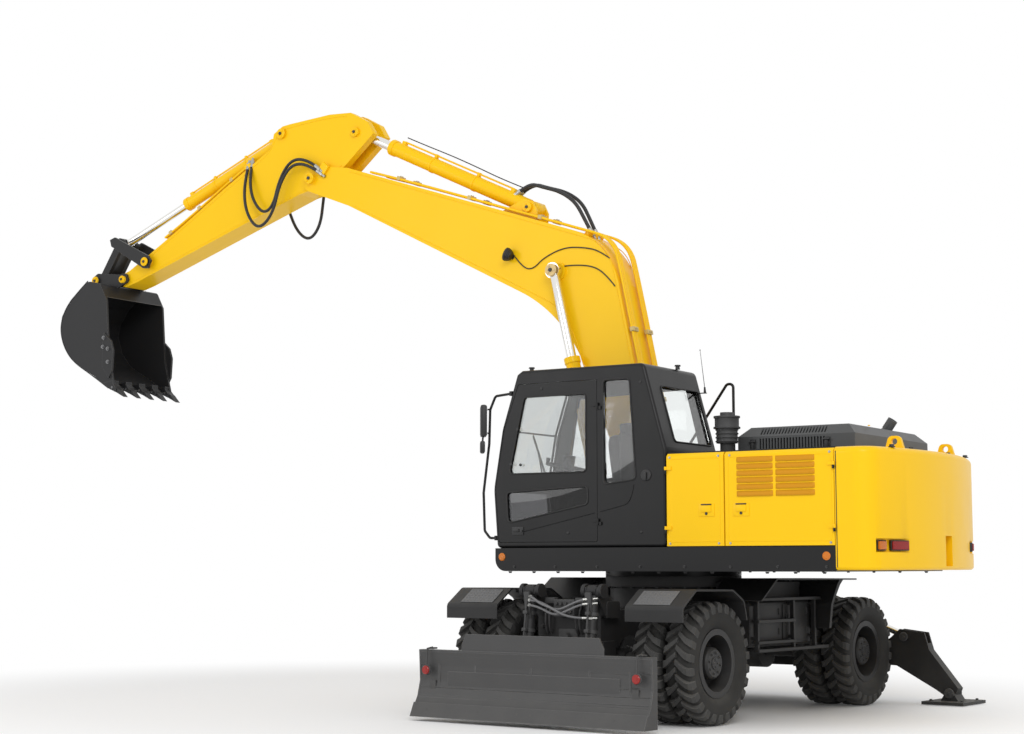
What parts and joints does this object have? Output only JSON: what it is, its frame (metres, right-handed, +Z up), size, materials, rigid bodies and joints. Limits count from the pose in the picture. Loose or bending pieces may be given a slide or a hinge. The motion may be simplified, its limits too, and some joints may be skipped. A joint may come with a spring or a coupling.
{
  "type": "wheeled excavator",
  "caption": "Wheeled excavator with a side cab, boom, arm and digging bucket, a front dozer blade, rear outriggers and twin tyres.",
  "frame": {"origin": "on the ground below the middle of the machine's box at rest", "axes": "+X from the counterweight towards the bucket, along the boom; +Y to the superstructure's left, on the cab's side; +Z up"},
  "size_m": [10.8117, 5.0895, 6.3104],
  "materials": {
    "yellow_paint": "gloss",
    "charcoal_paint": "satin",
    "chassis_paint": "satin",
    "hood_paint": "satin",
    "cast_iron": "rough",
    "chrome_rod": "polished",
    "tyre_rubber": "matte",
    "cab_trim": "matte"
  },
  "bodies": {
    "undercarriage": {"chassis_frame": "chassis_paint", "slew_ring": "chassis_paint", "front_axle": "cast_iron", "rear_axle": "cast_iron", "drive_line": "cast_iron", "rear_fenders": "chassis_paint", "side_boxes": "chassis_paint", "side_steps": "chassis_paint"},
    "knuckle_left": {"knuckle_left": "cast_iron", "front_fender_left": "chassis_paint"},
    "knuckle_right": {"knuckle_right": "cast_iron", "front_fender_right": "chassis_paint"},
    "tie_rod": {"tie_rod": "cast_iron"},
    "wheels_front_left": {"tyres_front_left": "tyre_rubber", "rims_front_left": "chassis_paint"},
    "wheels_front_right": {"tyres_front_right": "tyre_rubber", "rims_front_right": "chassis_paint"},
    "wheels_rear_left": {"tyres_rear_left": "tyre_rubber", "rims_rear_left": "chassis_paint"},
    "wheels_rear_right": {"tyres_rear_right": "tyre_rubber", "rims_rear_right": "chassis_paint"},
    "blade": {"dozer_blade": "chassis_paint"},
    "blade_barrels": {"blade_barrels": "chassis_paint"},
    "blade_rods": {"blade_rods": "chrome_rod"},
    "outrigger_left": {"outrigger_left": "chassis_paint"},
    "leg_barrel_left": {"leg_barrel_left": "chassis_paint"},
    "leg_rod_left": {"leg_rod_left": "chrome_rod"},
    "outrigger_right": {"outrigger_right": "chassis_paint"},
    "leg_barrel_right": {"leg_barrel_right": "chassis_paint"},
    "leg_rod_right": {"leg_rod_right": "chrome_rod"},
    "house": {"house_deck": "charcoal_paint", "counterweight": "yellow_paint", "body_frames": "charcoal_paint", "engine": "cast_iron", "air_and_exhaust": "charcoal_paint", "right_boxes": "yellow_paint", "swing_and_valves": "cast_iron", "cab_shell": "charcoal_paint", "cab_interior": "cab_trim", "handrails": "charcoal_paint", "right_rail": "charcoal_paint"},
    "left_front_door": {"left_front_door": "yellow_paint"},
    "left_rear_door": {"left_rear_door": "yellow_paint"},
    "right_door": {"right_door": "yellow_paint"},
    "engine_hood": {"engine_hood": "hood_paint"},
    "cab_door": {"cab_door": "charcoal_paint"},
    "boom": {"boom": "yellow_paint"},
    "boom_barrels": {"boom_barrels": "yellow_paint"},
    "boom_rods": {"boom_rods": "chrome_rod"},
    "arm": {"arm": "yellow_paint"},
    "arm_barrel": {"arm_barrel": "yellow_paint"},
    "arm_rod": {"arm_rod": "chrome_rod"},
    "bucket": {"bucket": "cast_iron"},
    "rocker": {"rocker": "cast_iron"},
    "h_link": {"h_link": "cast_iron"},
    "bucket_barrel": {"bucket_barrel": "yellow_paint"},
    "bucket_rod": {"bucket_rod": "chrome_rod"}
  },
  "joints": [
    {"name": "steer_left", "type": "hinge", "parent": "undercarriage", "child": "knuckle_left", "pos_m": [-3.21769, 1.35432, 0.522], "axis": [0, 0, 1], "range_deg": [-28, 28]},
    {"name": "steer_right", "type": "hinge", "parent": "undercarriage", "child": "knuckle_right", "pos_m": [-2.02061, 1.27061, 0.522], "axis": [0, 0, 1], "range_deg": [-28.5, 28.5]},
    {"name": "tie_rod_pivot", "type": "hinge", "parent": "knuckle_left", "child": "tie_rod", "pos_m": [-3.23164, 1.15481, 0.372], "axis": [0, 0, 1], "range_deg": [-28.5, 28.5]},
    {"name": "spin_front_left", "type": "hinge", "parent": "knuckle_left", "child": "wheels_front_left", "pos_m": [-3.72844, 1.39004, 0.522], "axis": [-0.9976, 0.0698, 0], "continuous": true},
    {"name": "spin_front_right", "type": "hinge", "parent": "knuckle_right", "child": "wheels_front_right", "pos_m": [-1.50986, 1.2349, 0.522], "axis": [-0.9976, 0.0698, 0], "continuous": true},
    {"name": "spin_rear_left", "type": "hinge", "parent": "undercarriage", "child": "wheels_rear_left", "pos_m": [-3.92376, -1.40314, 0.522], "axis": [-0.9976, 0.0698, 0], "continuous": true},
    {"name": "spin_rear_right", "type": "hinge", "parent": "undercarriage", "child": "wheels_rear_right", "pos_m": [-1.70518, -1.55828, 0.522], "axis": [-0.9976, 0.0698, 0], "continuous": true},
    {"name": "blade_lift", "type": "hinge", "parent": "undercarriage", "child": "blade", "pos_m": [-2.59439, 1.6666, 0.43], "axis": [0.9976, -0.0698, 0], "range_deg": [-8, 23]},
    {"name": "blade_barrel_swing", "type": "hinge", "parent": "undercarriage", "child": "blade_barrels", "pos_m": [-2.58114, 1.85614, 1.13], "axis": [0.9976, -0.0698, 0], "range_deg": [-1, 0.67]},
    {"name": "blade_rod_slide", "type": "slide", "parent": "blade_barrels", "child": "blade_rods", "axis": [0.009, 0.129, -0.9916], "range_m": [-0.11363, 0.04083]},
    {"name": "outrigger_fold_left", "type": "hinge", "parent": "undercarriage", "child": "outrigger_left", "pos_m": [-3.93683, -2.0488, 0.45], "axis": [0.0698, 0.9976, 0], "range_deg": [-10, 70]},
    {"name": "leg_barrel_swing_left", "type": "hinge", "parent": "undercarriage", "child": "leg_barrel_left", "pos_m": [-3.25849, -2.09624, 1.01], "axis": [0.0698, 0.9976, 0], "range_deg": [-0.94, 3.6]},
    {"name": "leg_rod_slide_left", "type": "slide", "parent": "leg_barrel_left", "child": "leg_rod_left", "axis": [-0.9299, 0.065, -0.362], "range_m": [-0.379, 0.05586]},
    {"name": "outrigger_fold_right", "type": "hinge", "parent": "undercarriage", "child": "outrigger_right", "pos_m": [-1.78209, -2.19948, 0.45], "axis": [-0.0698, -0.9976, 0], "range_deg": [-10, 70]},
    {"name": "leg_barrel_swing_right", "type": "hinge", "parent": "undercarriage", "child": "leg_barrel_right", "pos_m": [-2.46044, -2.15204, 1.01], "axis": [-0.0698, -0.9976, 0], "range_deg": [-0.94, 3.6]},
    {"name": "leg_rod_slide_right", "type": "slide", "parent": "leg_barrel_right", "child": "leg_rod_right", "axis": [0.9299, -0.065, -0.362], "range_m": [-0.379, 0.05586]},
    {"name": "swing", "type": "hinge", "parent": "undercarriage", "child": "house", "pos_m": [-2.706, 0.0705, 1.25], "axis": [0, 0, 1], "continuous": true},
    {"name": "boom_lift", "type": "hinge", "parent": "house", "child": "boom", "pos_m": [-2.476, -0.0995, 1.88], "axis": [0, -1, 0], "range_deg": [-80, 21]},
    {"name": "boom_barrel_swing", "type": "hinge", "parent": "house", "child": "boom_barrels", "pos_m": [-2.086, -0.0995, 1.58], "axis": [0, -1, 0], "range_deg": [-81.81, 21.84]},
    {"name": "boom_rod_slide", "type": "slide", "parent": "boom_barrels", "child": "boom_rods", "axis": [0.2305, 0, 0.9731], "range_m": [-0.64286, 0.17023]},
    {"name": "arm_crowd", "type": "hinge", "parent": "boom", "child": "arm", "pos_m": [1.75758, -0.0995, 5.60191], "axis": [0, 1, 0], "range_deg": [-20, 80]},
    {"name": "arm_barrel_swing", "type": "hinge", "parent": "boom", "child": "arm_barrel", "pos_m": [-1.04293, -0.0995, 4.98439], "axis": [0, -1, 0], "range_deg": [-1.9, 0.85]},
    {"name": "arm_rod_slide", "type": "slide", "parent": "arm_barrel", "child": "arm_rod", "axis": [0.9, 0, 0.436], "range_m": [-0.24364, 0.96858]},
    {"name": "bucket_curl", "type": "hinge", "parent": "arm", "child": "bucket", "pos_m": [4.6382, -0.0995, 4.72891], "axis": [0, 1, 0], "range_deg": [-118, 50]},
    {"name": "bucket_barrel_swing", "type": "hinge", "parent": "arm", "child": "bucket_barrel", "pos_m": [2.23352, -0.0995, 6.18284], "axis": [0, -1, 0], "range_deg": [-2.41, 5.01]},
    {"name": "bucket_rod_slide", "type": "slide", "parent": "bucket_barrel", "child": "bucket_rod", "axis": [0.9325, 0, -0.3611], "range_m": [-0.82045, 0.3488]},
    {"name": "rocker_swing", "type": "hinge", "parent": "arm", "child": "rocker", "pos_m": [4.24721, -0.0995, 4.90069], "axis": [0, -1, 0], "range_deg": [-36.01, 84.31]},
    {"name": "h_link_swing", "type": "hinge", "parent": "bucket", "child": "h_link", "pos_m": [5.08843, -0.0995, 4.74919], "axis": [0, -1, 0], "range_deg": [-93.88, 40.07]},
    {"name": "cab_door_hinge", "type": "hinge", "parent": "house", "child": "cab_door", "pos_m": [-2.608, 1.3045, 2.265], "axis": [0, 0, 1], "range_deg": [0, 110]},
    {"name": "left_front_door_hinge", "type": "hinge", "parent": "house", "child": "left_front_door", "pos_m": [-3.312, 1.3325, 1.9], "axis": [0, 0, -1], "range_deg": [0, 90]},
    {"name": "left_rear_door_hinge", "type": "hinge", "parent": "house", "child": "left_rear_door", "pos_m": [-4.885, 1.3325, 1.9], "axis": [0, 0, 1], "range_deg": [0, 90]},
    {"name": "right_door_hinge", "type": "hinge", "parent": "house", "child": "right_door", "pos_m": [-3.312, -1.1915, 1.9], "axis": [0, 0, 1], "range_deg": [0, 90]},
    {"name": "hood_hinge", "type": "hinge", "parent": "house", "child": "engine_hood", "pos_m": [-3.661, 0.0705, 2.348], "axis": [0, 1, 0], "range_deg": [0, 55]}
  ],
  "couplings": [
    {"joint": "steer_right", "follows": "steer_left", "ratio": 1},
    {"joint": "tie_rod_pivot", "follows": "steer_left", "ratio": -1},
    {"joint": "blade_barrel_swing", "follows": "blade_lift", "ratio": -0.021691},
    {"joint": "blade_rod_slide", "follows": "blade_lift", "m_per_rad": -0.27808},
    {"joint": "leg_barrel_swing_left", "follows": "outrigger_fold_left", "ratio": 0.044343},
    {"joint": "leg_rod_slide_left", "follows": "outrigger_fold_left", "m_per_rad": -0.30857},
    {"joint": "leg_barrel_swing_right", "follows": "outrigger_fold_right", "ratio": 0.044343},
    {"joint": "leg_rod_slide_right", "follows": "outrigger_fold_right", "m_per_rad": -0.30857},
    {"joint": "boom_barrel_swing", "follows": "boom_lift", "ratio": 1.0163},
    {"joint": "boom_rod_slide", "follows": "boom_lift", "m_per_rad": 0.45898},
    {"joint": "arm_barrel_swing", "follows": "arm_crowd", "ratio": -0.017444},
    {"joint": "arm_rod_slide", "follows": "arm_crowd", "m_per_rad": 0.69226},
    {"joint": "bucket_barrel_swing", "follows": "bucket_curl", "ratio": -0.038197},
    {"joint": "bucket_rod_slide", "follows": "bucket_curl", "m_per_rad": 0.3974},
    {"joint": "rocker_swing", "follows": "bucket_curl", "ratio": -0.71025},
    {"joint": "h_link_swing", "follows": "bucket_curl", "ratio": 0.79136}
  ]
}
